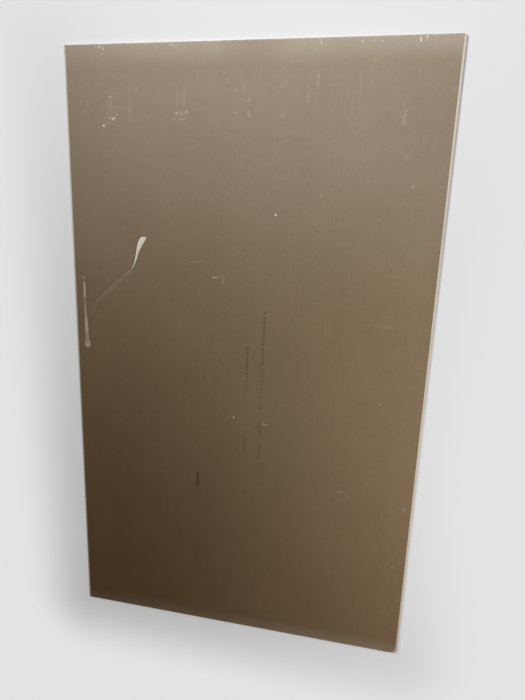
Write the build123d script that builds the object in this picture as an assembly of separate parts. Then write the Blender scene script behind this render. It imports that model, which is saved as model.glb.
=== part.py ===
from build123d import *
import os

# A drywall sheet, lying flat with its back upwards: a slab of foamed gypsum between two papers.
# The ivory face paper lies underneath, wraps up round both long edges and laps onto the back.
# The brown back paper is glued over the laps and stops a little short of both long edges.
# Millimetres. +X is across the width, +Y along the length, +Z up out of the back.
# The origin is on the floor, under the middle of the sheet.

# The whole sheet
sheet_width = 1200.0
sheet_length = 2000.0
sheet_thickness = 12.5

# The two papers
face_paper_thickness = 0.3
back_paper_thickness = 0.3
face_lap = 22.0
left_ivory_margin = 5.0
right_ivory_margin = 6.5

# The long edges, tapered on the face side for the jointing compound
taper_width = 50.0
taper_depth = 1.5
taper_blend_radius = 400.0
face_arris_radius = 2.0
back_arris_radius = 1.2

# The crushed corner: lower right, seen on the back. It is widest there and narrows towards the face.
crush_along = 12.0
crush_across = 8.0
crush_bulge = 1.2
crush_slope = 18.0

# Beside that corner the back paper is peeled away, and in a sliver along the lower end
peel_along = 15.0
peel_across = 14.0
peel_round = 8.0
sliver_across = 42.0
sliver_width = 2.5

# The torn patch, where a tongue of back paper was pulled off down to the gypsum.
# Its notched head lies uppermost, and below it the patch narrows into a curved, blunt tail.
tear_from_left_edge = 258.0
tear_from_upper_end = 576.0
tear_head_width = 18.0
tear_notch_depth = 1.6
# Stations below the head, the last one its tip: how far left, how far down, and the width there
tear_stations = [
    (9.0, 15.0, 20.5),
    (22.0, 44.0, 11.0),
    (30.0, 72.0, 5.5),
    (37.0, 92.0, 3.0),
    (60.0, 122.0, 1.6),
]

# The long scrape beside the left edge, where only the top plies of the paper are rubbed away
scrape_from_left_edge = 35.0
scrape_from_upper_end = 735.0
scrape_head_width = 6.0
scrape_foot_reach = 12.0
rubbed_depth = 0.12
# Stations below its head, with a waist near the top: how far right, how far down, and the width there
scrape_stations = [
    (0.0, 52.0, 9.5),
    (-0.5, 62.0, 6.5),
    (1.5, 155.0, 14.0),
    (2.5, 198.0, 16.0),
    (3.5, 222.0, 20.0),
]

# Two more rubbed places, run in from the upper end
rub_from_right_edge = (118.0, 102.0)
rub_widths = (7.0, 5.0)
rub_reach = (21.0, 13.0)

wrap_thickness = sheet_thickness - back_paper_thickness
half_width = sheet_width / 2
half_length = sheet_length / 2


# The section across the width of all that the face paper wraps, with the face paper itself
def wrapped_section():
    with BuildSketch(Plane.XZ) as section:
        with BuildLine():
            Polyline(
                (-half_width + taper_width, 0),
                (half_width - taper_width, 0),
                (half_width, taper_depth),
                (half_width, wrap_thickness),
                (-half_width, wrap_thickness),
                (-half_width, taper_depth),
                close=True,
            )
        make_face()
        corners = section.vertices()
        taper_starts = corners.filter_by(lambda corner: corner.Y < taper_depth / 2)
        back_arrises = corners.filter_by(lambda corner: corner.Y > wrap_thickness - taper_depth)
        face_arrises = corners - taper_starts - back_arrises
        fillet(taper_starts, taper_blend_radius)
        fillet(face_arrises, face_arris_radius)
        fillet(back_arrises, back_arris_radius)
    return section.sketch


# The gypsum fills the wrap, and rises between the laps to carry the back paper
def core_section():
    between_laps = sheet_width - 2 * face_lap
    with BuildSketch(Plane.XZ) as section:
        add(wrapped_section())
        offset(amount=-face_paper_thickness, mode=Mode.REPLACE)
        with Locations((0, wrap_thickness)):
            Rectangle(between_laps, 2 * face_paper_thickness, align=(Align.CENTER, Align.MAX))
    return section.sketch


def run_along_length(section):
    return extrude(section, half_length, both=True)


# What a knock took off the lower right corner, through all three pieces. The outline on the back
# runs on beyond the sheet, so that only its curved side slopes within it.
def crushed_corner():
    on_end = Vector(half_width - crush_across, -half_length)
    on_edge = Vector(half_width, -half_length + crush_along)
    outwards = Vector(crush_along, -crush_across).normalized()
    beyond = Vector(sheet_thickness, -sheet_thickness)
    with BuildSketch(Plane.XY.offset(sheet_thickness)) as outline:
        with BuildLine():
            ThreePointArc(on_end, (on_end + on_edge) / 2 + outwards * crush_bulge, on_edge)
            Polyline(
                on_edge,
                (on_edge.X + beyond.X, on_edge.Y),
                (on_edge.X + beyond.X, on_end.Y + beyond.Y),
                (on_end.X, on_end.Y + beyond.Y),
                on_end,
            )
        make_face()
    return extrude(outline.sketch, -sheet_thickness, taper=crush_slope)


# The back paper that is missing beside the crushed corner
def peeled_corner():
    sliver_tip = (half_width - sliver_across, -half_length)
    turn = (half_width - peel_across, -half_length + sliver_width)
    on_edge = (half_width - right_ivory_margin, -half_length + peel_along)
    with BuildSketch(Plane.XY.offset(wrap_thickness)) as outline:
        with BuildLine():
            Polyline(
                sliver_tip,
                turn,
                on_edge,
                (half_width, -half_length + peel_along),
                (half_width, -half_length),
                close=True,
            )
        make_face()
        fillet(outline.vertices().sort_by_distance(turn)[0], peel_round)
    return extrude(outline.sketch, back_paper_thickness)


# A point of the torn patch, given by how far it lies left of and below the head's middle
def beside_tear_head(left, down):
    return (-half_width + tear_from_left_edge - left, half_length - tear_from_upper_end - down)


# A notched head, two curved sides and a narrow tail, right through the back paper
def torn_patch():
    head_left = beside_tear_head(tear_head_width / 2, 0)
    head_right = beside_tear_head(-tear_head_width / 2, 0)
    notch = beside_tear_head(0, tear_notch_depth)
    left_side = [beside_tear_head(left + width / 2, down) for left, down, width in tear_stations]
    right_side = [beside_tear_head(left - width / 2, down) for left, down, width in tear_stations]
    with BuildSketch(Plane.XY.offset(wrap_thickness)) as outline:
        with BuildLine():
            Polyline(head_left, notch, head_right)
            Spline(head_right, *right_side)
            Spline(head_left, *left_side)
            Line(left_side[-1], right_side[-1])
        make_face()
    return extrude(outline.sketch, back_paper_thickness)


# A point of the scrape, given by how far it lies right of and below its head's middle
def beside_scrape_head(right, down):
    return (-half_width + scrape_from_left_edge + right, half_length - scrape_from_upper_end - down)


# The scrape widens down the sheet, with a waist near its head, and ends in a round foot
def edge_scrape():
    stations = [(0.0, 0.0, scrape_head_width)] + scrape_stations
    left_side = [beside_scrape_head(right - width / 2, down) for right, down, width in stations]
    right_side = [beside_scrape_head(right + width / 2, down) for right, down, width in stations]
    foot_right, foot_down, foot_width = scrape_stations[-1]
    foot = beside_scrape_head(foot_right, foot_down + scrape_foot_reach)
    with BuildSketch(Plane.XY.offset(sheet_thickness - rubbed_depth)) as outline:
        with BuildLine():
            Polyline(*reversed(left_side), *right_side)
            ThreePointArc(right_side[-1], foot, left_side[-1])
        make_face()
    return extrude(outline.sketch, rubbed_depth)


# Round-ended rubs that start at the upper end of the sheet
def end_rubs():
    with BuildSketch(Plane.XY.offset(sheet_thickness - rubbed_depth)) as outlines:
        for from_edge, width, reach in zip(rub_from_right_edge, rub_widths, rub_reach):
            with Locations((half_width - from_edge, half_length)):
                Ellipse(width / 2, reach)
    return extrude(outlines.sketch, rubbed_depth)


def gypsum_core():
    return run_along_length(core_section()) - crushed_corner()


def face_paper():
    return run_along_length(wrapped_section() - core_section()) - crushed_corner()


def back_paper():
    left = -half_width + left_ivory_margin
    right = half_width - right_ivory_margin
    with BuildPart() as paper:
        with Locations(((left + right) / 2, 0, wrap_thickness)):
            Box(
                right - left,
                sheet_length,
                back_paper_thickness,
                align=(Align.CENTER, Align.CENTER, Align.MIN),
            )
    return paper.part - torn_patch() - edge_scrape() - end_rubs() - crushed_corner() - peeled_corner()


nodes = {
    "gypsum_core": gypsum_core,
    "face_paper": face_paper,
    "back_paper": back_paper,
}

os.makedirs("parts", exist_ok=True)
for name, make in nodes.items():
    export_step(make(), f"parts/{name}.step")
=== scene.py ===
# A drywall sheet lying flat with its brown back upwards. The three solids of the frame keep their shapes
# and get their finishes here. What is too thin for them is added as thin pieces: the plies left in the
# torn and rubbed places, the feathered rims round these, chalky scuffs, scratches, crumbs of gypsum, the
# furry paper at both cut ends, and the marking ink.
# Lengths are in metres. Marks on the back are placed in millimetres from the middle of the sheet, x to
# the right and y towards the upper end. Colours are written as they look on a screen, 0 to 255.
import math
import random
import bmesh
import bpy
from mathutils import Matrix, Vector


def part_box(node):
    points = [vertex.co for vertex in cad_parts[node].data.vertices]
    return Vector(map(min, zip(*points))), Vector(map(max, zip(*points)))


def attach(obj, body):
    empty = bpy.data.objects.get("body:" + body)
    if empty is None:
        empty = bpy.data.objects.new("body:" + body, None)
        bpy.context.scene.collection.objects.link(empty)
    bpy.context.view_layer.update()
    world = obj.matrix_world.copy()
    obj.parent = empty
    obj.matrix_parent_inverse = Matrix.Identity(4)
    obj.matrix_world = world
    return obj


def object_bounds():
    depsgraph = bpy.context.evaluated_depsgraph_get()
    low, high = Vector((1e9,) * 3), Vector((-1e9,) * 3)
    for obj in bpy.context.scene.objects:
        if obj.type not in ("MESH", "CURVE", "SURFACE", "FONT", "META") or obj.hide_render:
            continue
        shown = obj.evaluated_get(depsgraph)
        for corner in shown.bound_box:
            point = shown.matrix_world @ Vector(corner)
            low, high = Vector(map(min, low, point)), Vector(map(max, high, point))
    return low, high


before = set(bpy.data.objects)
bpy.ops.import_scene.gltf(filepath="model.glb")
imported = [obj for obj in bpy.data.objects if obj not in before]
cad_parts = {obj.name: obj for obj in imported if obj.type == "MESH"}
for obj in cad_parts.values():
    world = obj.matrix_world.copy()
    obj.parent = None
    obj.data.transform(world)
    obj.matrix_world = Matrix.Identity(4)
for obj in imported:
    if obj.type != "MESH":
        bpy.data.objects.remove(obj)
cad_low, cad_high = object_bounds()

MM = 0.001
BODY = "root"

# Levels and edges of the sheet, from the frame, and how deep the back paper is rubbed away
paper_low, paper_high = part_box("back_paper")
PAPER_TOP = paper_high.z
GYPSUM_TOP = paper_low.z
HALF_LENGTH = cad_high.y
RUBBED_DEPTH = 0.12 * MM
RUBBED_LEVEL = PAPER_TOP - RUBBED_DEPTH

# The camera: where it stands, the point of the sheet at the middle of its picture, its small sideways
# tilt, and its lens and sensor in millimetres
CAMERA_PLACE = Vector((0.4089, 0.4921, 1.6889))
CAMERA_AIM = Vector((0.0693, 0.0752, PAPER_TOP))
CAMERA_TILT = math.radians(2.1)
CAMERA_LENS = 27.48
CAMERA_SENSOR = 36.0

# Soft studio light: a wide lamp over the upper half and a weaker one beside the lower right
LAMPS = {
    "main_lamp": {"place": (-0.45, 1.75, 1.9), "aim": (1.5, 2.1, 0.0), "size": 0.9, "power": 62.0},
    "side_lamp": {"place": (1.0, -0.48, 1.4), "aim": (2.4, -0.4, 0.0), "size": 0.8, "power": 21.0},
}

# A weak fill from all round. From low down it is stronger, so that it lights the thin edges of the sheet,
# and at LOW_FILL_HEIGHT, a height as a share of the distance, it has faded to its level from above.
FILL_COLOUR = (255, 243, 226)
FILL_LEVEL = 0.10
LOW_FILL_LEVEL = 1.3
LOW_FILL_HEIGHT = 0.34

# The floor: its colour, its size, and how far under the sheet it lies, so that the two never touch
FLOOR_COLOUR = (226, 227, 228)
FLOOR_REACH = 16.0
FLOOR_DROP = 0.02 * MM

# Seen directly, the floor is lifted towards one even tone, wholly so from EVEN_FLOOR outwards and by the
# share FLOOR_GLOW beside the sheet. Within CONTACT_SHADOW it is lifted less again, down to the share
# CONTACT_GLOW of that, so that a thin line of shadow stays along the sheet.
FLOOR_GLOW = 0.5
EVEN_FLOOR = 0.3
CONTACT_GLOW = 0.3
CONTACT_SHADOW = 0.014

# Tones of the back paper from the lower to the upper end: browner and darker below as painted warm shade,
# greyer above, partly its own and partly painted sheen. Then its pale fibres and dark specks, and those of
# the trail, the dust and the rubbed places on it
BACK_SHADED_BROWN = (123, 100, 72)
BACK_MIDDLE = (132, 113, 87)
BACK_GREY_AND_SHEEN = (148, 134, 117)
PALE_FIBRE = (196, 184, 163)
DARK_SPECK = (84, 66, 48)
TRAIL_TONE = (186, 166, 136)
DUST_TONE = (200, 192, 178)
RUBBED_TONE = (158, 140, 115)

# Tones of the face paper, from its darker clouds to its paler ones and where it is soiled, of the gypsum in
# the core, of the painted shade in its pits and of the gypsum in the crumbs, and of the ink from well
# soaked in to thin
IVORY_DARK = (198, 189, 173)
IVORY_PALE = (207, 198, 184)
IVORY_SOILED = (170, 156, 133)
CORE_TONE = (252, 246, 236)
PIT_PAINTED_SHADE = (186, 181, 170)
CRUMB_TONE = (244, 240, 232)
INK_DARK = (66, 48, 31)
INK_THIN = (104, 84, 58)

# Thickness of the thin pieces: first those that lie on the paper, then those in the torn and rubbed places
CHALK_SKIN = 0.02 * MM
SCRATCH_SKIN = 0.022 * MM
CRUMB_SKIN = 0.03 * MM
INK_SKIN = 0.008 * MM
FRINGE_SKIN = 0.012 * MM
PLY_SKIN = 0.05 * MM
PALE_PLY_SKIN = 0.06 * MM
LIP_SKIN = 0.07 * MM
RIM_SKIN = 0.03 * MM
LOOSE_CRUMB = 0.1 * MM

# How much all the dry surfaces shine, from none to 1
DRY_SHEEN = 0.25

# The stretch in which nearly all the values of a noise lie
NOISE_LOW = 0.2
NOISE_HIGH = 0.8

# How far out from its middle a soft patch has its full strength, as a share of its size
PATCH_CORE = 0.15

# Sockets of the Mix node when it mixes colours: the one under, the one over, and the colour that results
MIX_UNDER = 6
MIX_OVER = 7
MIX_RESULT = 2


def shade(tone):
    """A screen colour as the linear colour that the shaders take."""
    def linear(level):
        level /= 255
        return level / 12.92 if level <= 0.04045 else ((level + 0.055) / 1.055) ** 2.4
    red, green, blue = tone
    return (linear(red), linear(green), linear(blue), 1.0)


def add_node(tree, kind, inputs, output=0, **settings):
    """Adds a shader node with each of its inputs linked or set, and gives one of its outputs."""
    node = tree.nodes.new("ShaderNode" + kind)
    for name, value in settings.items():
        setattr(node, name, value)
    for socket, value in inputs.items():
        if isinstance(value, bpy.types.NodeSocket):
            tree.links.new(value, node.inputs[socket])
        else:
            node.inputs[socket].default_value = value
    return node.outputs[output]


class Finish:
    """A material being mixed: its Principled shader, and nodes that read the piece's own coordinates."""

    def __init__(self, name, roughness):
        self.material = bpy.data.materials.new(name)
        self.material.use_nodes = True
        self.tree = self.material.node_tree
        self.shader = self.tree.nodes["Principled BSDF"]
        self.shader.inputs["Roughness"].default_value = roughness
        self.shader.inputs["Specular IOR Level"].default_value = DRY_SHEEN
        self.place = self.node("TexCoord", {}, output="Object")

    def node(self, kind, inputs, output=0, **settings):
        return add_node(self.tree, kind, inputs, output, **settings)

    def axis(self, letter):
        return self.node("SeparateXYZ", {0: self.place}, output="XYZ".index(letter))

    def math(self, operation, first, second=0.0):
        return self.node("Math", {0: first, 1: second}, operation=operation)

    def noise(self, scale, detail, across=1.0, along=1.0, wander=0.0):
        """Noise of this scale, which across and along raise or lower in their own direction."""
        place = self.node("Mapping", {"Vector": self.place, "Scale": (across, along, 1.0)})
        inputs = {"Vector": place, "Scale": scale, "Detail": detail, "Distortion": wander}
        return self.node("TexNoise", inputs)

    def ease(self, value, start, end, low=0.0, high=1.0):
        """A smooth step of value from start to end, scaled from low to high."""
        levels = {"Value": value, "From Min": start, "From Max": end, "To Min": low, "To Max": high}
        return self.node("MapRange", levels, interpolation_type="SMOOTHSTEP")

    def spread(self, noise, reach):
        """Noise as a factor round 1, up to reach above and below."""
        levels = {"Value": noise, "From Min": NOISE_LOW, "From Max": NOISE_HIGH}
        return self.node("MapRange", {**levels, "To Min": 1 - reach, "To Max": 1 + reach})

    def shift(self, noise, reach):
        """Noise as a length round 0, this long from its lowest to its highest value."""
        return self.math("MULTIPLY", self.math("SUBTRACT", noise, 0.5), reach)

    def tint(self, amount, under, over):
        sockets = {0: amount, MIX_UNDER: under, MIX_OVER: over}
        return self.node("Mix", sockets, output=MIX_RESULT, data_type="RGBA")

    def scaled(self, colour, factor):
        sockets = {0: 1.0, MIX_UNDER: colour, MIX_OVER: factor}
        return self.node("Mix", sockets, output=MIX_RESULT, data_type="RGBA", blend_type="MULTIPLY")

    def patch(self, x, y, half_width, half_length, turn, strength):
        """A soft oval patch on the sheet, at its strength in the middle and 0 at its rim."""
        inside = self.node("Mapping", {
            "Vector": self.place,
            "Location": (x * MM, y * MM, PAPER_TOP),
            "Rotation": (0.0, 0.0, math.radians(turn)),
            "Scale": (half_width * MM, half_length * MM, 1.0),
        }, vector_type="TEXTURE")
        away = self.node("VectorMath", {0: inside}, output="Value", operation="LENGTH")
        return self.ease(away, 1.0, PATCH_CORE, high=strength)

    def relief(self, height, depth):
        """Bump of the given real depth."""
        bumped = self.node("Bump", {"Height": height, "Distance": depth, "Strength": 1.0})
        self.tree.links.new(bumped, self.shader.inputs["Normal"])

    def paint(self, colour):
        self.tree.links.new(colour, self.shader.inputs["Base Color"])

    def dull(self, roughness):
        self.tree.links.new(roughness, self.shader.inputs["Roughness"])


# Pale lengthwise streaks near the upper end: x, y, half width, half length, strength
PALE_STREAKS = [
    (-446, 830, 16, 60, 0.11),
    (-383, 866, 5, 26, 0.16),
    (-358, 870, 5, 22, 0.16),
    (-341, 862, 4, 20, 0.11),
    (-384, 802, 10, 34, 0.15),
    (-225, 845, 9, 50, 0.12),
    (-203, 848, 10, 55, 0.14),
    (-67, 890, 10, 20, 0.11),
    (-19, 872, 6, 24, 0.18),
    (0, 842, 5, 24, 0.20),
    (147, 850, 8, 22, 0.10),
    (178, 866, 7, 62, 0.17),
    (177, 840, 4, 24, 0.13),
    (203, 888, 5, 32, 0.20),
    (205, 830, 6, 60, 0.08),
    (292, 850, 10, 16, 0.11),
    (330, 840, 12, 80, 0.05),
    (455, 820, 8, 40, 0.10),
    (-528, 829, 12, 14, 0.08),
]

# Soft dusty patches under the scuffs and smudges: x, y, half width, half length, turn, strength
DUSTY_PATCHES = [
    (-442, 788, 20, 14, 0, 0.36),
    (-452, 825, 18, 44, 0, 0.12),
    (-213, 795, 34, 20, 0, 0.22),
    (-42, 799, 9, 8, 0, 0.20),
    (1, 797, 8, 14, 0, 0.24),
    (106, 796, 13, 12, 0, 0.20),
    (104, 880, 14, 12, 0, 0.14),
    (455, 785, 12, 24, 0, 0.24),
    (-479, 985, 20, 20, 0, 0.32),
    (-536, 986, 12, 10, 0, 0.14),
    (-240, 991, 24, 9, 0, 0.36),
    (-315, 997, 40, 6, 0, 0.24),
    (-14, 988, 16, 10, 0, 0.12),
    (208, 987, 9, 15, 0, 0.36),
    (324, 985, 14, 16, 0, 0.28),
    (374, 988, 12, 8, 0, 0.20),
    (488, 987, 20, 15, 0, 0.30),
    (584, 862, 7, 8, 0, 0.12),
    (500, 105, 10, 30, -40, 0.10),
    (476, 682, 18, 16, 0, 0.20),
    (478, 552, 18, 8, 0, 0.10),
    (-468, 678, 18, 14, 0, 0.16),
    (-71, 292, 5, 24, 0, 0.26),
    (-160, 351, 30, 4, 3, 0.14),
    (569, -431, 7, 20, 14, 0.26),
    (552, -655, 9, 14, 0, 0.14),
]

# The faint rubbed trail that runs on from the torn patch towards the left edge and bends down there, in
# patches like the dusty ones
TRAIL_PATCHES = [
    (-436, 272, 9, 66, -47, 0.20),
    (-464, 248, 10, 80, -49, 0.20),
    (-502, 213, 9, 62, -48, 0.19),
    (-524, 190, 8, 44, -38, 0.15),
    (-540, 160, 6, 42, -22, 0.13),
]

# Where the back's tone changes along the sheet, from painted warm shade below to the greyer top, and the
# stretches across and along it over which painted shade turns it a deeper brown towards the lower left
BROWN_TO_MIDDLE = (-1.0, 0.25)
MIDDLE_TO_GREY = (0.1, 1.0)
PAINTED_SHADE_ACROSS = (0.35, -0.65)
PAINTED_SHADE_ALONG = (0.65, -0.85)

# How much of the red, green and blue a tint keeps: all of it, and what it keeps of them at the lower left,
# where the tint is painted shade
UNTINTED = (1.0, 1.0, 1.0, 1.0)
LOWER_LEFT_PAINTED_SHADE = (0.88, 0.81, 0.67, 1.0)

# Pale dust at both ends: how far in it reaches and how much there is. The upper end has less of it at the
# left, up to the stretch where it grows, and in one cleaner patch.
UPPER_DUST_REACH = 75 * MM
UPPER_DUST = 0.30
UPPER_DUST_AT_LEFT = 0.14
UPPER_DUST_GROWS = (-0.62, -0.2)
CLEANER_PATCH = (10, 1000, 130, 90, 0, 0.6)
LOWER_DUST_REACH = 55 * MM
LOWER_DUST = 0.16

# How much dust there is in the middle of a dusty patch of strength 1
PATCH_DUST = 0.5

# Along its two long edges, where it meets the laps, the back paper is darker: from how far in,
# to how far in, and how much of its colour it keeps there
DARK_EDGE_FROM = 2.2 * MM
DARK_EDGE_TO = 0.4 * MM
DARK_EDGE_KEEPS = 0.72


def back_paper_finish():
    """Brown-grey paper of pulped waste: clouded, streaked along the sheet, fibrous, dusty at the ends."""
    finish = Finish("recycled_back_paper", roughness=0.88)
    along = finish.axis("Y")
    fine_streaks = finish.noise(scale=1.0, detail=2.0, across=160.0, along=5.0)
    mottle = finish.noise(scale=95.0, detail=4.0, along=0.6)
    fibres = finish.noise(scale=620.0, detail=3.0, along=0.35, wander=1.4)
    dust = dust_on_back(finish, along, mottle)

    colour = back_tone_with_painted_light(finish, along)
    for pattern, reach in ((fine_streaks, 0.02), (mottle, 0.04), (fibres, 0.10)):
        colour = finish.scaled(colour, finish.spread(pattern, reach))
    colour = speckled(finish, colour)
    colour = finish.tint(trail_on_back(finish), colour, shade(TRAIL_TONE))
    colour = finish.tint(dust, colour, shade(DUST_TONE))
    colour = finish.scaled(colour, darker_long_edges(finish))

    rubbed = finish.ease(finish.axis("Z"), PAPER_TOP - RUBBED_DEPTH / 6, RUBBED_LEVEL + RUBBED_DEPTH / 6)
    bared = finish.scaled(shade(RUBBED_TONE), finish.spread(fine_streaks, 0.12))
    finish.paint(finish.tint(rubbed, colour, bared))

    finish.dull(finish.ease(dust, 0.0, 0.5, low=0.84, high=0.95))
    waves = finish.math("ADD", finish.math("MULTIPLY", mottle, 0.35), finish.math("MULTIPLY", fibres, 0.25))
    finish.relief(waves, depth=0.08 * MM)
    return finish.material


def back_tone_with_painted_light(finish, along):
    """The back's colour, clouded, greyer above, and browner below and at the lower left as painted shade."""
    drift = finish.shift(finish.noise(scale=1.6, detail=3.0), reach=0.5)
    drifting = finish.math("ADD", along, drift)
    # Painted light: along the sheet the tone runs from a browner, darker painted warm shade at the lower end
    # to a greyer upper end, partly the paper's own tone and partly painted sheen.
    colour = finish.tint(finish.ease(drifting, *BROWN_TO_MIDDLE), shade(BACK_SHADED_BROWN), shade(BACK_MIDDLE))
    colour = finish.tint(finish.ease(drifting, *MIDDLE_TO_GREY), colour, shade(BACK_GREY_AND_SHEEN))

    # Painted shade: towards the lower left the colour is darkened and browned, standing for dimmer, warmer
    # light.
    towards_left = finish.ease(finish.axis("X"), *PAINTED_SHADE_ACROSS)
    painted_shade = finish.math("MULTIPLY", towards_left, finish.ease(along, *PAINTED_SHADE_ALONG))
    colour = finish.scaled(colour, finish.tint(painted_shade, UNTINTED, LOWER_LEFT_PAINTED_SHADE))

    clouds = finish.noise(scale=4.5, detail=4.0)
    streaks = finish.noise(scale=1.0, detail=3.0, across=34.0, along=0.8)
    for pattern, reach in ((clouds, 0.05), (streaks, 0.028)):
        colour = finish.scaled(colour, finish.spread(pattern, reach))
    return colour


def speckled(finish, colour):
    """The colour with single pale fibres and dark specks of the pulp in it."""
    pale = finish.noise(scale=900.0, detail=2.0, along=0.3, wander=2.0)
    colour = finish.tint(finish.ease(pale, 0.64, 0.74, high=0.35), colour, shade(PALE_FIBRE))
    dark = finish.noise(scale=480.0, detail=1.0, wander=0.6)
    return finish.tint(finish.ease(dark, 0.29, 0.22, high=0.45), colour, shade(DARK_SPECK))


def trail_on_back(finish):
    """How far the paper is rubbed along the faint trail."""
    trail = 0.0
    for row in TRAIL_PATCHES:
        trail = finish.math("MAXIMUM", trail, finish.patch(*row))
    return trail


def darker_long_edges(finish):
    """How much of its colour the back paper keeps towards its two long edges."""
    middle_line = (paper_low.x + paper_high.x) / 2
    half_width = (paper_high.x - paper_low.x) / 2
    from_middle = finish.math("ABSOLUTE", finish.math("SUBTRACT", finish.axis("X"), middle_line))
    return finish.ease(from_middle, half_width - DARK_EDGE_FROM, half_width - DARK_EDGE_TO, 1.0, DARK_EDGE_KEEPS)


def dust_on_back(finish, along, mottle):
    """How much pale dust lies on the back: bands at both ends, streaks and scuffed patches."""
    sway = finish.shift(finish.noise(scale=6.0, detail=3.0), reach=0.03)
    line = finish.math("ADD", along, sway)
    level = finish.ease(finish.axis("X"), *UPPER_DUST_GROWS, UPPER_DUST_AT_LEFT, UPPER_DUST)
    level = finish.math("MULTIPLY", level, finish.math("SUBTRACT", 1.0, finish.patch(*CLEANER_PATCH)))
    upper = finish.math("MULTIPLY", finish.ease(line, HALF_LENGTH - UPPER_DUST_REACH, HALF_LENGTH), level)
    lower = finish.ease(line, LOWER_DUST_REACH - HALF_LENGTH, -HALF_LENGTH, high=LOWER_DUST)
    dust = finish.math("ADD", upper, lower)

    brushing = finish.noise(scale=1.0, detail=4.0, across=230.0, along=14.0)
    brushed = finish.ease(brushing, 0.38, 0.66, low=0.15, high=1.5)
    for x, y, half_width, half_length, strength in PALE_STREAKS:
        streak = finish.patch(x, y, half_width, half_length, 0, strength)
        dust = finish.math("ADD", dust, finish.math("MULTIPLY", streak, brushed))

    blotchy = finish.ease(mottle, 0.32, 0.68, low=0.45, high=1.2)
    for x, y, half_width, half_length, turn, strength in DUSTY_PATCHES:
        patch = finish.patch(x, y, half_width, half_length, turn, strength * PATCH_DUST)
        dust = finish.math("MAXIMUM", dust, finish.math("MULTIPLY", patch, blotchy))
    return dust


def face_paper_finish():
    """Smooth ivory paper, a little soiled by handling in patches drawn out along the sheet."""
    finish = Finish("ivory_face_paper", roughness=0.74)
    clouds = finish.noise(scale=7.0, detail=4.0)
    soil = finish.noise(scale=30.0, detail=5.0, along=0.25)
    fibres = finish.noise(scale=700.0, detail=3.0, along=0.35, wander=1.2)
    colour = finish.tint(clouds, shade(IVORY_DARK), shade(IVORY_PALE))
    colour = finish.scaled(colour, finish.spread(fibres, 0.035))
    colour = finish.tint(finish.ease(soil, 0.52, 0.80, high=0.45), colour, shade(IVORY_SOILED))
    finish.paint(colour)
    finish.dull(finish.ease(soil, 0.4, 0.8, low=0.70, high=0.84))
    finish.relief(fibres, depth=0.03 * MM)
    return finish.material


# The finishes of bared plies, torn edges and chalk: their tone, and how streaked they are
PLY_FINISHES = {
    "chalky_scuff": ((208, 199, 183), 0.14),
    "grey_inner_ply": ((220, 213, 202), 0.10),
    "bared_ply": ((199, 186, 163), 0.16),
    "dull_ply": ((175, 160, 137), 0.18),
    "pale_ply": ((216, 208, 195), 0.10),
    "torn_edge": ((224, 210, 190), 0.12),
    "rubbed_edge": ((150, 130, 105), 0.10),
}


def gypsum_finish(name, tone):
    """Set gypsum: chalky, foamed with fine air bubbles and broken into grains."""
    finish = Finish(name, roughness=0.93)
    bubbles = finish.node("TexVoronoi", {"Vector": finish.place, "Scale": 850.0}, output="Distance")
    pits = finish.ease(bubbles, 0.34, 0.12)
    grains = finish.noise(scale=300.0, detail=5.0)
    clouds = finish.noise(scale=60.0, detail=3.0)
    colour = finish.scaled(shade(tone), finish.spread(clouds, 0.03))
    colour = finish.scaled(colour, finish.spread(grains, 0.05))
    # Painted shade: the pits of the air bubbles are greyed a little, as shade in their hollows.
    colour = finish.tint(finish.math("MULTIPLY", pits, 0.15), colour, shade(PIT_PAINTED_SHADE))
    finish.paint(colour)
    rough = finish.math("SUBTRACT", finish.math("MULTIPLY", grains, 1.2), finish.math("MULTIPLY", pits, 0.6))
    finish.relief(rough, depth=0.15 * MM)
    return finish.material


def ply_finish(name, tone, reach):
    """Bared inner ply of the paper: soft, streaked and fluffy with pulled fibres."""
    finish = Finish(name, roughness=0.95)
    pulled = finish.noise(scale=1.0, detail=4.0, across=900.0, along=120.0)
    fluff = finish.noise(scale=420.0, detail=4.0, wander=1.5)
    colour = finish.scaled(shade(tone), finish.spread(pulled, reach))
    colour = finish.scaled(colour, finish.spread(fluff, reach * 0.6))
    finish.paint(colour)
    finish.relief(finish.math("ADD", pulled, fluff), depth=0.06 * MM)
    return finish.material


def deselect():
    bpy.ops.object.select_all(action="DESELECT")


def take(pieces):
    """Selects these pieces alone, the first one active."""
    deselect()
    for piece in pieces:
        piece.select_set(True)
    bpy.context.view_layer.objects.active = pieces[0]


def start_edit(piece):
    take([piece])
    bpy.ops.object.mode_set(mode="EDIT")
    bpy.ops.mesh.select_mode(type="VERT")


def end_edit():
    bpy.ops.object.mode_set(mode="OBJECT")


def pick_vertices(piece, wanted):
    """In edit mode, selects just the vertices that pass the test, and tells whether there are any."""
    bpy.ops.mesh.select_all(action="DESELECT")
    mesh = bmesh.from_edit_mesh(piece.data)
    for vertex in mesh.verts:
        vertex.select_set(wanted(vertex))
    mesh.select_flush(True)
    bmesh.update_edit_mesh(piece.data)
    return any(vertex.select for vertex in mesh.verts)


def thicken(thickness):
    """In edit mode, draws the whole flat shape up into a closed slab."""
    bpy.ops.mesh.select_all(action="SELECT")
    bpy.ops.mesh.extrude_region_move(TRANSFORM_OT_translate={"value": (0, 0, thickness)})
    bpy.ops.mesh.select_all(action="SELECT")
    bpy.ops.mesh.normals_make_consistent(inside=False)


# How ragged the sides of a strip of ply are, and how many rows of points lie from one station to the next
STRIP_RAGGEDNESS = 0.15
ROWS_BETWEEN = 4

# How round the corners of an ink bar are, as a share of its width
BAR_ROUNDING = 0.2


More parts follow.
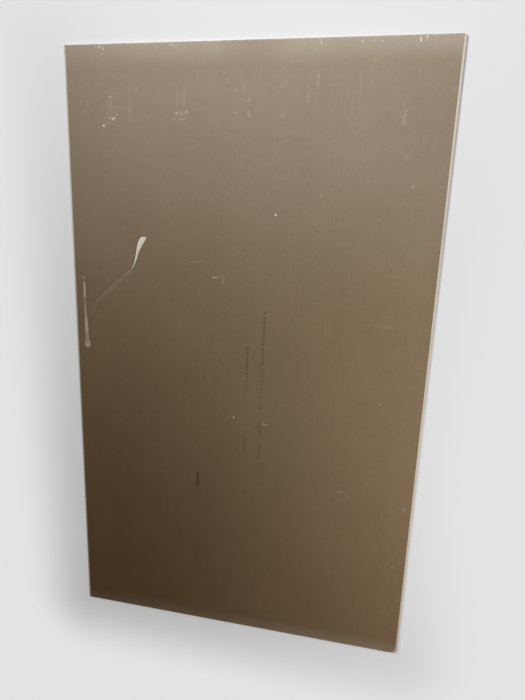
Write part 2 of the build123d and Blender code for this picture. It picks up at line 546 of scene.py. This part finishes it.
def ragged_flake(corners, raggedness, seed):
    """A flat irregular flake of radius 1 and thickness 1, a pattern for flecks, fibres and scratches."""
    deselect()
    bpy.ops.mesh.primitive_circle_add(vertices=corners, radius=1.0, fill_type="NGON", location=(0, 0, 0))
    flake = bpy.context.object
    start_edit(flake)
    bpy.ops.mesh.select_all(action="SELECT")
    bpy.ops.transform.vertex_random(offset=raggedness, uniform=1.0, normal=0.0, seed=seed)
    bpy.ops.transform.resize(value=(1, 1, 0), center_override=(0, 0, 0))
    thicken(1.0)
    end_edit()
    return flake


def ink_bar():
    """A flat bar with softened corners, 1 across, 1 long and 1 thick, the pattern for ink marks."""
    deselect()
    bpy.ops.mesh.primitive_plane_add(size=1.0, location=(0, 0, 0))
    bar = bpy.context.object
    start_edit(bar)
    bpy.ops.mesh.select_all(action="SELECT")
    bpy.ops.mesh.bevel(offset=BAR_ROUNDING, segments=2, affect="VERTICES")
    thicken(1.0)
    end_edit()
    return bar


def joined(name, pieces):
    """The pieces made one, under this name."""
    take(pieces)
    bpy.ops.object.join()
    whole = bpy.context.object
    whole.name = name
    return whole


def laid_copies(name, patterns, layout, level, skin):
    """Copies of the patterns joined into one piece, each (x, y, half width, half length, turn) on the sheet.
    Each is a little thicker than the one before, so that no two that overlap end at the same height."""
    copies = []
    for number, (x, y, half_width, half_length, turn) in enumerate(layout):
        pattern = patterns[number % len(patterns)]
        copy = pattern.copy()
        copy.data = pattern.data.copy()
        bpy.context.scene.collection.objects.link(copy)
        copy.location = (x * MM, y * MM, level)
        copy.rotation_euler = (0, 0, math.radians(turn))
        copy.scale = (half_width * MM, half_length * MM, skin * (1 + number / len(layout)))
        copies.append(copy)
    take(copies)
    bpy.ops.object.transform_apply(location=True, rotation=True, scale=True)
    return joined(name, copies)


def ragged_rows(stations, seed):
    """More stations between the given ones, each a little wider or narrower and off to one side."""
    chance = random.Random(seed)
    rows = []
    for start, end in zip(stations, stations[1:]):
        for step in range(ROWS_BETWEEN):
            x, y, width = Vector(start).lerp(Vector(end), step / ROWS_BETWEEN)
            aside = chance.gauss(0, STRIP_RAGGEDNESS) * width / 3
            wider = chance.gauss(0, STRIP_RAGGEDNESS)
            rows.append((x + aside, y, width * (1 + wider)))
    return rows + [stations[-1]]


def ribbon(name, stations, level, skin, seed):
    """A thin strip through its stations, each (x, y, width) on the sheet, with ragged sides."""
    deselect()
    rows = ragged_rows(stations, seed)
    last = len(rows) - 1
    bpy.ops.mesh.primitive_grid_add(x_subdivisions=1, y_subdivisions=last, size=1.0, location=(0, 0, level))
    strip = bpy.context.object
    strip.name = name
    start_edit(strip)
    for row, (x, y, width) in enumerate(rows):
        start = Vector((0, row / last - 0.5, level))
        pick_vertices(strip, lambda vertex: vertex.index // 2 == row)
        bpy.ops.transform.resize(value=(width * MM, 1, 1), center_override=start)
        bpy.ops.transform.translate(value=Vector((x * MM, y * MM, level)) - start)
    thicken(skin)
    end_edit()
    bpy.ops.object.transform_apply(location=True, rotation=True, scale=True)
    return strip


def rubbed_plies(name, strips, skin, first_seed):
    """Strips of ply bared in a rubbed place, one for each list of stations, joined into one piece."""
    ribbons = [
        ribbon(f"{name}_{number}", stations, RUBBED_LEVEL, skin, first_seed + number)
        for number, stations in enumerate(strips)
    ]
    return joined(name, ribbons)


def dress(piece, material):
    """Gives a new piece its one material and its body."""
    piece.data.name = piece.name
    piece.data.materials.clear()
    piece.data.materials.append(material)
    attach(piece, BODY)


def remove(pieces):
    for piece in pieces:
        bpy.data.objects.remove(piece)


# The patterns that small marks are copied from: how many corners, how ragged, and the seed
FLAKES = [(9, 0.35, 1), (11, 0.45, 2), (8, 0.30, 3)]
SLIVERS = [(14, 0.12, 4), (16, 0.15, 5)]

# Chalky clusters: x, y, half width, half length, how many flecks, and their smallest and largest size
CHALK_CLUSTERS = [
    (-481, 993, 5, 4, 7, 1.0, 2.0),
    (-467, 987, 4, 5, 6, 1.0, 2.1),
    (-492, 993, 3, 3, 3, 0.8, 1.6),
    (-483, 980, 4, 4, 4, 0.5, 1.2),
    (-470, 973, 3, 3, 3, 0.8, 1.8),
    (-334, 996, 6, 1.5, 3, 0.6, 1.4),
    (-317, 996, 5, 1.5, 3, 0.6, 1.4),
    (-291, 995, 5, 2, 3, 0.6, 1.6),
    (-245, 993, 8, 2.5, 8, 0.9, 1.9),
    (-230, 990, 5, 2, 4, 0.6, 1.3),
    (-212, 991, 7, 1, 5, 0.5, 1.2),
    (-202, 987, 1.5, 1.5, 2, 0.8, 1.4),
    (-20, 988, 7, 3, 4, 0.5, 1.1),
    (-9, 988, 1, 5, 3, 0.7, 1.3),
    (208, 987, 2, 6, 7, 0.9, 1.9),
    (219, 987, 4, 2, 3, 0.5, 1.2),
    (323, 987, 2, 5, 6, 0.9, 2.0),
    (376, 987, 6, 2, 6, 0.6, 1.4),
    (342, 995, 6, 1.5, 3, 0.3, 0.7),
    (356, 989, 5, 1.5, 4, 0.5, 1.2),
    (482, 989, 4, 7, 4, 0.6, 1.3),
    (497, 990, 3, 6, 5, 0.8, 2.0),
    (473, 976, 6, 4, 4, 0.4, 1.0),
    (-448, 850, 1.5, 3, 3, 1.0, 2.0),
    (-456, 864, 10, 7, 9, 0.4, 1.0),
    (-424, 848, 6, 20, 7, 0.4, 1.0),
    (-449, 825, 3, 16, 10, 0.4, 1.1),
    (-461, 815, 5, 18, 9, 0.4, 0.9),
    (-428, 819, 2, 4, 3, 0.6, 1.0),
    (-428, 798, 5, 3, 4, 0.7, 1.5),
    (-461, 800, 2, 3, 2, 0.6, 1.2),
    (-453, 787, 5, 2, 5, 0.8, 1.8),
    (-439, 786, 8, 4, 10, 1.3, 2.0),
    (-466, 787, 3, 3, 3, 0.6, 1.2),
    (-458, 772, 12, 4, 12, 0.5, 1.2),
    (-528, 829, 8, 7, 4, 0.4, 0.8),
    (-516, 844, 6, 3, 3, 0.3, 0.8),
    (-384, 793, 4, 12, 4, 0.3, 0.7),
    (-228, 803, 4, 3, 6, 0.7, 1.4),
    (-213, 800, 8, 1.5, 6, 0.7, 1.6),
    (-196, 804, 5, 3, 6, 0.8, 1.5),
    (-191, 798, 2, 2, 2, 0.7, 1.3),
    (-213, 784, 14, 1, 10, 0.7, 1.3),
    (-235, 786, 6, 1.5, 4, 0.6, 1.4),
    (-209, 842, 25, 32, 26, 0.3, 0.7),
    (-41, 863, 1, 10, 5, 0.5, 1.1),
    (-50, 862, 2, 7, 3, 0.4, 0.8),
    (-42, 801, 5, 1.2, 4, 0.5, 1.1),
    (-41, 787, 11, 2, 4, 0.4, 0.9),
    (-22, 842, 6, 6, 3, 0.3, 0.8),
    (0, 840, 1.5, 10, 5, 0.4, 1.1),
    (0, 803, 2, 3, 3, 0.6, 1.2),
    (1, 794, 2.5, 3, 3, 0.7, 1.3),
    (12, 788, 5, 4, 2, 0.3, 0.8),
    (112, 887, 1, 4, 3, 0.4, 0.9),
    (112, 873, 1, 2, 2, 0.6, 1.2),
    (103, 884, 8, 4, 3, 0.2, 0.5),
    (101, 799, 1.5, 4, 3, 0.3, 0.7),
    (110, 801, 1, 3, 3, 0.5, 0.9),
    (110, 792, 2.5, 2, 4, 0.5, 1.1),
    (97, 790, 4, 2, 3, 0.3, 0.6),
    (324, 897, 0.8, 7, 4, 0.6, 1.1),
    (321, 853, 7, 1, 3, 0.4, 0.8),
    (292, 850, 7, 6, 4, 0.3, 0.8),
    (362, 940, 1, 9, 4, 0.5, 1.1),
    (357, 914, 1, 6, 3, 0.5, 1.1),
    (357, 882, 1, 6, 2, 0.4, 0.8),
    (458, 795, 2, 2, 3, 0.9, 1.7),
    (459, 806, 3, 2, 3, 0.6, 1.2),
    (446, 797, 1.5, 6, 4, 0.4, 1.0),
    (454, 787, 4, 2, 4, 0.7, 1.2),
    (457, 773, 2, 10, 8, 0.5, 1.3),
    (457, 831, 2, 5, 3, 0.3, 0.8),
    (584, 862, 3, 3, 3, 0.5, 0.9),
    (494, 111, 12, 8, 3, 0.3, 0.7),
    (567, -424, 3, 7, 3, 0.3, 0.6),
    (-38, -171, 7, 4, 5, 0.4, 0.9),
    (92, -196, 8, 3, 4, 0.3, 0.7),
    (-70, 311, 3, 2, 4, 0.4, 0.9),
    (-567, 278, 5, 2, 6, 0.8, 1.5),
    (-565, 206, 2, 5, 6, 0.4, 0.9),
    (-562, 77, 5, 11, 10, 0.4, 1.1),
]

# Long thin scratches: from x, y to x, y, and the width
SCRATCHES = [
    (-183, 350, -160, 351, 0.4),
    (-162, 352, -138, 353, 0.3),
    (-108, 302, -90, 304, 2.2),
    (-94, 303, -76, 309, 1.3),
    (-71, 308, -70, 284, 0.6),
    (-398, 306, -412, 292, 1.3),
    (383, 183, 440, 182, 0.2),
    (418, 182, 493, 179, 0.35),
    (440, 186, 480, 183, 0.2),
    (344, -397, 368, -398, 0.9),
    (366, -399, 390, -413, 0.7),
    (77, -183, 97, -187, 1.9),
    (93, 873, 103, 873, 1.0),
    (322, 972, 322, 978, 0.6),
    (328, 973, 328, 979, 0.5),
    (335, 973, 335, 978, 0.8),
]

# Bright crumbs of gypsum pressed into the paper: x, y, radius
BRIGHT_SPECKS = [
    (-473, 765, 3.3),
    (-438, 786, 1.0),
    (95, 508, 2.6),
    (231, 570, 1.6),
    (289, 599, 0.7),
    (258, 540, 0.6),
    (495, 600, 1.2),
    (499, 600, 1.2),
    (538, 248, 0.9),
    (462, -71, 1.3),
    (-23, -171, 2.0),
    (80, -184, 1.3),
    (-448, 850, 1.3),
]

# Flecks of chalk that are at least this big lie thicker, and so are as bright as the crumbs
BRIGHT_FLECK = 2.0

# How the flecks of a cluster are spread: the turn in radians from one to the next, which never lines them
# up, how much nearer or farther out than evenly, how much longer than wide, and how far from straight
FLECK_TURN = 2.4
FLECK_SPREAD = (0.7, 1.1)
FLECK_STRETCH = (1.0, 2.2)
FLECK_LENGTH = 0.8
FLECK_SLANT = 30


def chalk_layout():
    """Flecks spread round the middle of each cluster in widening turns, most of them drawn out along the
    sheet. The pale ones and the bright ones are given apart."""
    chance = random.Random(11)
    pale, bright = [], []
    for x, y, half_width, half_length, count, smallest, largest in CHALK_CLUSTERS:
        start = chance.uniform(0, 2 * math.pi)
        for number in range(count):
            size = smallest + (largest - smallest) * chance.random() ** 2
            away = math.sqrt((number + 0.5) / count) * chance.uniform(*FLECK_SPREAD)
            turn = start + FLECK_TURN * number
            place_x = x + math.cos(turn) * away * half_width
            place_y = min(y + math.sin(turn) * away * half_length, HALF_LENGTH / MM - 2 * largest)
            stretch = chance.uniform(*FLECK_STRETCH)
            slant = chance.uniform(-FLECK_SLANT, FLECK_SLANT)
            fleck = (place_x, place_y, size / stretch, size * stretch * FLECK_LENGTH, slant)
            (bright if size > BRIGHT_FLECK else pale).append(fleck)
    return pale, bright


def scratch_layout():
    layout = []
    for x0, y0, x1, y1, width in SCRATCHES:
        turn = math.degrees(math.atan2(y1 - y0, x1 - x0)) - 90
        length = math.dist((x0, y0), (x1, y1))
        layout.append(((x0 + x1) / 2, (y0 + y1) / 2, width / 2, length / 2, turn))
    return layout


def speck_layout():
    chance = random.Random(5)
    return [
        (x, y, radius, radius * chance.uniform(0.8, 1.2), chance.uniform(0, 180))
        for x, y, radius in BRIGHT_SPECKS
    ]


# The furry edge of the back paper at both cut ends: how many fibres, how far from the end they lie, how far
# out from the middle they reach, and half the length, half the width and the slant of one
FRINGE_FIBRES = 260
FRINGE_INSET = (1.6, 2.4)
FRINGE_REACH = 588
FIBRE_HALF_LENGTH = (1.2, 4.5)
FIBRE_HALF_WIDTH = (0.25, 0.6)
FIBRE_SLANT = 5

# The stretches of x without fibres, where the paper is peeled at the lower end or rubbed at the upper one
BARE_STRETCHES = {-1: (548, 600), 1: (470, 508)}


def fringe_layout():
    chance = random.Random(17)
    layout = []
    for end, (bare_from, bare_to) in BARE_STRETCHES.items():
        for _ in range(FRINGE_FIBRES):
            x = chance.uniform(-FRINGE_REACH, FRINGE_REACH)
            y = end * (HALF_LENGTH / MM - chance.uniform(*FRINGE_INSET))
            if bare_from < x < bare_to:
                continue
            half_length = chance.uniform(*FIBRE_HALF_LENGTH)
            half_width = chance.uniform(*FIBRE_HALF_WIDTH)
            layout.append((x, y, half_length, half_width, chance.uniform(-FIBRE_SLANT, FIBRE_SLANT)))
    return layout


# Crumbs of gypsum left on the peeled sliver at the lower right: how many, and from and to for x, y and size
SLIVER_CRUMBS = 14
SLIVER_ACROSS = (568, 588)
SLIVER_ALONG = (-999.2, -998.2)
SLIVER_CRUMB_SIZE = (0.25, 0.6)


def sliver_crumb_layout():
    chance = random.Random(23)
    layout = []
    for _ in range(SLIVER_CRUMBS):
        size = chance.uniform(*SLIVER_CRUMB_SIZE)
        place = (chance.uniform(*SLIVER_ACROSS), chance.uniform(*SLIVER_ALONG))
        layout.append((*place, size, size * chance.uniform(0.7, 1.3), chance.uniform(0, 180)))
    return layout


# Two plain lines of ink dashes near the middle of the back, in runs of x, from y, to y, width and how open
# they are, and one short bolder mark. The dashes say nothing: their lengths and gaps are drawn by chance.
DASHED_RUNS = [
    (73, 202, 192, 4.4, 1.0),
    (72, 184, 86, 5.4, 0.9),
    (72, 79, 23, 4.0, 1.0),
    (71, 12, -60, 2.8, 0.9),
    (70, -84, -97, 3.4, 1.0),
    (70, -112, -130, 3.2, 1.0),
    (70, -184, -232, 3.2, 1.0),
    (69, -256, -294, 3.4, 1.0),
    (68, -306, -317, 4.0, 1.0),
    (19, 80, 54, 4.6, 0.5),
    (19, 49, -2, 3.4, 0.3),
    (18, -8, -78, 4.2, 1.1),
    (17, -244, -300, 4.2, 0.9),
]
DASH_LENGTHS = (4, 9)
DASH_GAPS = (4, 7)
DASH_WIDTHS = (0.8, 1.15)
SHORTEST_DASH = 1
BOLD_MARK_MIDDLE = (-151, -420)
BOLD_MARK_WIDTH = 9.4
BOLD_MARK_BARS = 6
BOLD_MARK_PITCH = 8.8
BOLD_MARK_BAR = 8.1


def dash_layout():
    chance = random.Random(3)
    layout = []
    for x, start, end, width, openness in DASHED_RUNS:
        y = start
        while y > end + SHORTEST_DASH:
            length = min(chance.uniform(*DASH_LENGTHS), y - end)
            layout.append((x, y - length / 2, width * chance.uniform(*DASH_WIDTHS), length, 0))
            y -= length + chance.uniform(*DASH_GAPS) * openness
    x, y = BOLD_MARK_MIDDLE
    for bar in range(BOLD_MARK_BARS):
        offset = (bar - (BOLD_MARK_BARS - 1) / 2) * BOLD_MARK_PITCH
        layout.append((x, y + offset, BOLD_MARK_WIDTH, BOLD_MARK_BAR, 0))
    return layout


def ink_finish():
    """Thin brown-black marking ink, soaked into the paper and broken up by its fibres."""
    finish = Finish("marking_ink", roughness=0.7)
    soak = finish.noise(scale=500.0, detail=4.0, wander=1.0)
    colour = finish.tint(finish.ease(soak, 0.35, 0.7), shade(INK_DARK), shade(INK_THIN))
    finish.paint(colour)
    finish.relief(soak, depth=0.02 * MM)
    return finish.material


def add_small_marks(chalk):
    """Flecks, scratches, crumbs, fibres and ink: each piece is a scatter of copies of the small patterns."""
    flakes = [ragged_flake(*pattern) for pattern in FLAKES]
    slivers = [ragged_flake(*pattern) for pattern in SLIVERS]
    bar = ink_bar()
    crumb = gypsum_finish("gypsum_crumb", CRUMB_TONE)
    pale_flecks, bright_flecks = chalk_layout()
    specks = speck_layout() + bright_flecks
    scatters = [
        ("chalk_flecks", flakes, pale_flecks, PAPER_TOP, CHALK_SKIN, chalk, "gypsum"),
        ("scratches", slivers, scratch_layout(), PAPER_TOP, SCRATCH_SKIN, chalk, "gypsum"),
        ("gypsum_specks", flakes, specks, PAPER_TOP, CRUMB_SKIN, crumb, "gypsum"),
        ("end_fringe", slivers, fringe_layout(), PAPER_TOP, FRINGE_SKIN, chalk, "back_paper"),
        ("sliver_crumbs", flakes, sliver_crumb_layout(), GYPSUM_TOP, LOOSE_CRUMB, crumb, "gypsum"),
        ("ink_dashes", [bar], dash_layout(), PAPER_TOP, INK_SKIN, ink_finish(), "back_paper"),
    ]
    for name, patterns, layout, level, skin, material, slot in scatters:
        dress(laid_copies(name, patterns, layout, level, skin), material)
    remove(flakes + slivers + [bar])


# The streak of grey ply left in the torn patch: x, y, width
TORN_PLY = [
    (-342, 420, 4.5),
    (-346, 413, 5.5),
    (-352, 403, 5.5),
    (-358, 391, 4.5),
    (-363, 380, 3.2),
    (-367, 368, 2.2),
    (-371, 354, 1.2),
]

# Plies bared along the scrape beside the left edge, as strips of x, y, width: the pale ones, and those that
# are rubbed less
SCRAPE_PLIES = [
    [(-565, 264, 4.8), (-565, 250, 6.4), (-565, 235, 7.6), (-565, 222, 8.0), (-565, 214, 6.0),
     (-565, 209, 3.5)],
    [(-564, 142, 4.0), (-563, 132, 8.0), (-563, 122, 10.0), (-563, 108, 11.0), (-563, 94, 11.4),
     (-563, 84, 8.0)],
]
DULL_SCRAPE_PLIES = [
    [(-565, 196, 4.0), (-565, 185, 5.6), (-565, 165, 7.8), (-564, 145, 10.6), (-564, 132, 10.0)],
    [(-563, 94, 11.0), (-563, 82, 12.0), (-562, 68, 13.0), (-562, 56, 15.5), (-561, 46, 16.0),
     (-561, 36, 9.0)],
]

# What the two rubs at the upper end bare, as strips of x, y, width
END_RUB_PLIES = [
    [(479, 999, 2.4), (480, 994, 3.2), (481, 989, 5.0), (482, 984, 4.2), (482, 981, 2.0)],
    [(499, 998, 3.2), (497, 993, 4.0), (496, 989, 2.8)],
]

# The pale lip of ply pushed up round the scrape's foot: its middle, half its width and half its length. It
# starts as a ring of radius 1, of which LIP_BREADTH is ply, and which is open above LIP_OPENING.
LIP_MIDDLE = (-561.5, 47.0)
LIP_HALF_WIDTH = 9.2
LIP_HALF_LENGTH = 14.6
LIP_CORNERS = 36
LIP_OPENING = 0.7
LIP_BREADTH = 0.42
LIP_RAGGEDNESS = 0.084

# The feathered rims of the hollows in the back paper: the stretches of x and y that hold the hollow's wall,
# its floor, how far the rim reaches in over that, and a seed
RIMS = {
    "torn_rim": ((-420, -320), (290, 440), GYPSUM_TOP, 0.5, 21),
    "scrape_rim": ((-584, -545), (20, 275), RUBBED_LEVEL, 1.2, 22),
    "peel_rim": ((550, 600), (-1001, -984), GYPSUM_TOP, 0.7, 25),
}
RIM_RAGGEDNESS = 0.35

# Points of a solid that are this near to each other are one point
MERGE_DISTANCE = 0.001 * MM


def foot_lip():
    """A thin ragged crescent round the lower half of the scrape's foot."""
    x, y = LIP_MIDDLE
    inner = 1 - LIP_BREADTH
    deselect()
    bpy.ops.mesh.primitive_circle_add(vertices=LIP_CORNERS, radius=1.0, location=(0, 0, 0))
    lip = bpy.context.object
    lip.name = "foot_lip"
    start_edit(lip)
    pick_vertices(lip, lambda vertex: vertex.co.y > LIP_OPENING)
    bpy.ops.mesh.delete(type="VERT")
    bpy.ops.mesh.select_all(action="SELECT")
    bpy.ops.mesh.extrude_edges_move()
    bpy.ops.transform.resize(value=(inner, inner, 1), center_override=(0, 0, 0))
    bpy.ops.mesh.select_all(action="SELECT")
    bpy.ops.transform.vertex_random(offset=LIP_RAGGEDNESS, uniform=1.0, normal=0.0, seed=9)
    full_size = (LIP_HALF_WIDTH * MM, LIP_HALF_LENGTH * MM, 0)
    bpy.ops.transform.resize(value=full_size, center_override=(0, 0, 0))
    bpy.ops.transform.translate(value=(x * MM, y * MM, RUBBED_LEVEL))
    thicken(LIP_SKIN)
    end_edit()
    return lip


def copied_back_paper(name):
    """A copy of the back paper's solid to cut a piece from, free of what the frame holds about it."""
    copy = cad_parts["back_paper"].copy()
    copy.data = copy.data.copy()
    for mark in list(copy.keys()):
        del copy[mark]
    copy.parent = None
    copy.name = name
    bpy.context.scene.collection.objects.link(copy)
    return copy


def keep_walls(piece, across, along):
    """In edit mode, leaves only the upright faces with their middle in these stretches of x and y."""
    bpy.ops.mesh.select_all(action="SELECT")
    bpy.ops.mesh.remove_doubles(threshold=MERGE_DISTANCE)
    bpy.ops.mesh.select_mode(type="FACE")
    bpy.ops.mesh.select_all(action="DESELECT")
    mesh = bmesh.from_edit_mesh(piece.data)
    for face in mesh.faces:
        middle = face.calc_center_median() / MM
        inside = across[0] < middle.x < across[1] and along[0] < middle.y < along[1]
        upright = abs(face.normal.z) < 0.5
        face.select_set(not (inside and upright))
    bmesh.update_edit_mesh(piece.data)
    bpy.ops.mesh.delete(type="FACE")
    bpy.ops.mesh.select_mode(type="VERT")


def feathered_rim(name):
    """The wall round a hollow in the back paper, drawn out over the hollow's floor as a ragged feather."""
    across, along, floor, reach, seed = RIMS[name]
    rim = copied_back_paper(name)
    start_edit(rim)
    keep_walls(rim, across, along)
    bpy.ops.mesh.select_all(action="SELECT")
    bpy.ops.mesh.tris_convert_to_quads()
    bpy.ops.mesh.subdivide(number_cuts=3)
    pick_vertices(rim, lambda vertex: vertex.co.z < floor + MERGE_DISTANCE)
    bpy.ops.transform.shrink_fatten(value=reach * MM)
    bpy.ops.transform.vertex_random(offset=reach * RIM_RAGGEDNESS * MM, uniform=1.0, normal=0.0, seed=seed)
    bpy.ops.transform.resize(value=(1, 1, 0), center_override=(0, 0, floor + RIM_SKIN))
    if pick_vertices(rim, lambda vertex: vertex.co.y < -HALF_LENGTH):
        bpy.ops.transform.resize(value=(1, 0, 1), center_override=(0, -HALF_LENGTH, 0))
    end_edit()
    shell = rim.modifiers.new("thickness", "SOLIDIFY")
    shell.thickness = RIM_SKIN
    shell.offset = -1.0
    take([rim])
    bpy.ops.object.modifier_apply(modifier=shell.name)
    return rim


def add_bared_places(finishes):
    """The plies, the feathered rims and the lip in the torn and rubbed places."""
    bared = [
        (ribbon("torn_ply", TORN_PLY, GYPSUM_TOP, PLY_SKIN, seed=4), "grey_inner_ply"),
        (feathered_rim("torn_rim"), "torn_edge"),
        (feathered_rim("scrape_rim"), "rubbed_edge"),
        (feathered_rim("peel_rim"), "torn_edge"),
        (rubbed_plies("scrape_plies", SCRAPE_PLIES, PALE_PLY_SKIN, first_seed=0), "bared_ply"),
        (rubbed_plies("dull_scrape_plies", DULL_SCRAPE_PLIES, PLY_SKIN, first_seed=5), "dull_ply"),
        (foot_lip(), "torn_edge"),
        (rubbed_plies("end_rub_plies", END_RUB_PLIES, PLY_SKIN, first_seed=7), "pale_ply"),
    ]
    for piece, name in bared:
        dress(piece, finishes[name])


def add_marks():
    """Everything thin that lies on the back."""
    finishes = {name: ply_finish(name, tone, reach) for name, (tone, reach) in PLY_FINISHES.items()}
    add_small_marks(finishes["chalky_scuff"])
    add_bared_places(finishes)


def dress_frame():
    """The carried-over solids take their finishes through their own material slots."""
    finishes = {
        "back_paper": back_paper_finish(),
        "face_paper": face_paper_finish(),
        "gypsum_core": gypsum_finish("gypsum", CORE_TONE),
    }
    for name, material in finishes.items():
        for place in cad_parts[name].material_slots:
            place.material = material


def seen_directly(tree):
    """1 for rays from the camera and for those in reflections, 0 for the rays that light things."""
    total = 0.0
    for kind in ("Is Camera Ray", "Is Glossy Ray", "Is Transmission Ray"):
        ray = add_node(tree, "LightPath", {}, output=kind)
        total = add_node(tree, "Math", {0: total, 1: ray}, operation="ADD", use_clamp=True)
    return total


def floor_finish():
    """Plain pale floor. Seen directly it is lifted towards one even tone, least of all beside the sheet."""
    finish = Finish("studio_floor", roughness=0.9)
    finish.shader.inputs["Base Color"].default_value = shade(FLOOR_COLOUR)
    outwards = finish.node("VectorMath", {0: finish.place}, operation="ABSOLUTE")
    beyond = finish.node("VectorMath", {0: outwards, 1: (cad_high.x, cad_high.y, 0.0)}, operation="SUBTRACT")
    beyond = finish.node("VectorMath", {0: beyond, 1: (0.0, 0.0, 0.0)}, operation="MAXIMUM")
    away = finish.node("VectorMath", {0: beyond}, output="Value", operation="LENGTH")
    evened = finish.ease(away, 0.0, EVEN_FLOOR, low=FLOOR_GLOW)
    shadowed = finish.ease(away, 0.0, CONTACT_SHADOW, low=CONTACT_GLOW)
    lift = finish.math("MULTIPLY", finish.math("MULTIPLY", evened, shadowed), seen_directly(finish.tree))
    glow = finish.node("Emission", {"Color": shade(FLOOR_COLOUR)})
    blend = finish.node("MixShader", {0: lift, 1: finish.shader.outputs[0], 2: glow})
    finish.tree.links.new(blend, finish.tree.nodes["Material Output"].inputs["Surface"])
    return finish.material


def lay_floor():
    deselect()
    bpy.ops.mesh.primitive_plane_add(size=FLOOR_REACH, location=(0, 0, -FLOOR_DROP))
    floor = bpy.context.object
    floor.name = "studio_floor"
    floor.data.materials.append(floor_finish())


def set_fill():
    """The weak light from all round. Seen directly, it has the even tone of the floor."""
    world = bpy.data.worlds.new("soft_fill")
    bpy.context.scene.world = world
    world.use_nodes = True
    tree = world.node_tree
    facing = add_node(tree, "TexCoord", {}, output="Object")
    height = add_node(tree, "SeparateXYZ", {0: facing}, output="Z")
    levels = {"Value": height, "From Max": LOW_FILL_HEIGHT, "To Min": LOW_FILL_LEVEL, "To Max": FILL_LEVEL}
    strength = add_node(tree, "MapRange", levels, interpolation_type="SMOOTHSTEP")
    fill = tree.nodes["Background"]
    fill.inputs["Color"].default_value = shade(FILL_COLOUR)
    tree.links.new(strength, fill.inputs["Strength"])
    backdrop = add_node(tree, "Background", {"Color": shade(FLOOR_COLOUR)})
    blend = add_node(tree, "MixShader", {0: seen_directly(tree), 1: fill.outputs[0], 2: backdrop})
    tree.links.new(blend, tree.nodes["World Output"].inputs["Surface"])


def hang_lamps():
    for name, wanted in LAMPS.items():
        lamp = bpy.data.lights.new(name, "AREA")
        lamp.shape = "DISK"
        lamp.size = wanted["size"]
        lamp.energy = wanted["power"]
        holder = bpy.data.objects.new(name, lamp)
        holder.location = wanted["place"]
        beam = Vector(wanted["aim"]) - Vector(wanted["place"])
        holder.rotation_euler = beam.to_track_quat("-Z", "Y").to_euler()
        holder.visible_camera = False
        bpy.context.scene.collection.objects.link(holder)


def place_camera():
    backwards = (CAMERA_PLACE - CAMERA_AIM).normalized()
    rightwards = Vector((0, 1, 0)).cross(backwards).normalized()
    upwards = backwards.cross(rightwards)
    facing = Matrix((rightwards, upwards, backwards)).transposed() @ Matrix.Rotation(CAMERA_TILT, 3, "Z")
    lens = bpy.data.cameras.new("camera")
    lens.lens = CAMERA_LENS
    lens.sensor_width = CAMERA_SENSOR
    camera = bpy.data.objects.new("camera", lens)
    camera.matrix_world = Matrix.Translation(CAMERA_PLACE) @ facing.to_4x4()
    bpy.context.scene.collection.objects.link(camera)
    bpy.context.scene.camera = camera


bpy.context.scene.view_settings.view_transform = "Standard"
place_camera()
dress_frame()
add_marks()
lay_floor()
set_fill()
hang_lamps()
